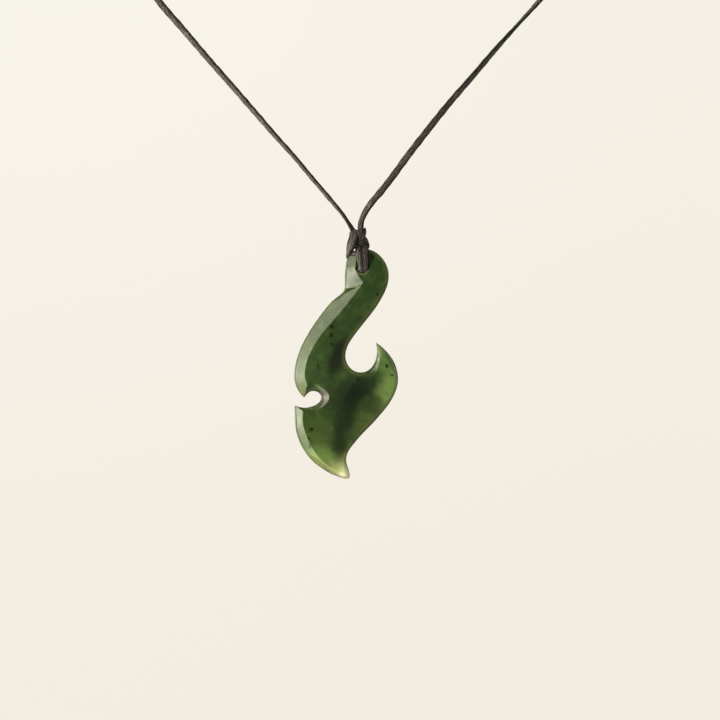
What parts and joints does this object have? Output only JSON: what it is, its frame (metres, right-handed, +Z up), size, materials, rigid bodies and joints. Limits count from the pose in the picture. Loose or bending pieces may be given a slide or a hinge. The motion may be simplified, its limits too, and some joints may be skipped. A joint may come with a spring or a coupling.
{
  "type": "hei matau pendant",
  "caption": "Polished greenstone fish-hook pendant with barb, side notch and curved tail, hitched through its head to a closed loop of dark flat braided cord.",
  "frame": {"origin": "underside of the knot at the back of the cord loop, where the neck carries it", "axes": "+Z up along the hanging pendant, -Y out of its front face, +X towards the barb"},
  "size_m": [0.1206, 0.007, 0.2147],
  "materials": {
    "greenstone": "polished",
    "braid": "waxed"
  },
  "bodies": {
    "root": {"hook": "greenstone", "lashing": "braid", "binding_knot": "braid", "left_cord": "braid", "right_cord": "braid", "closing_knot": "braid"}
  },
  "joints": []
}
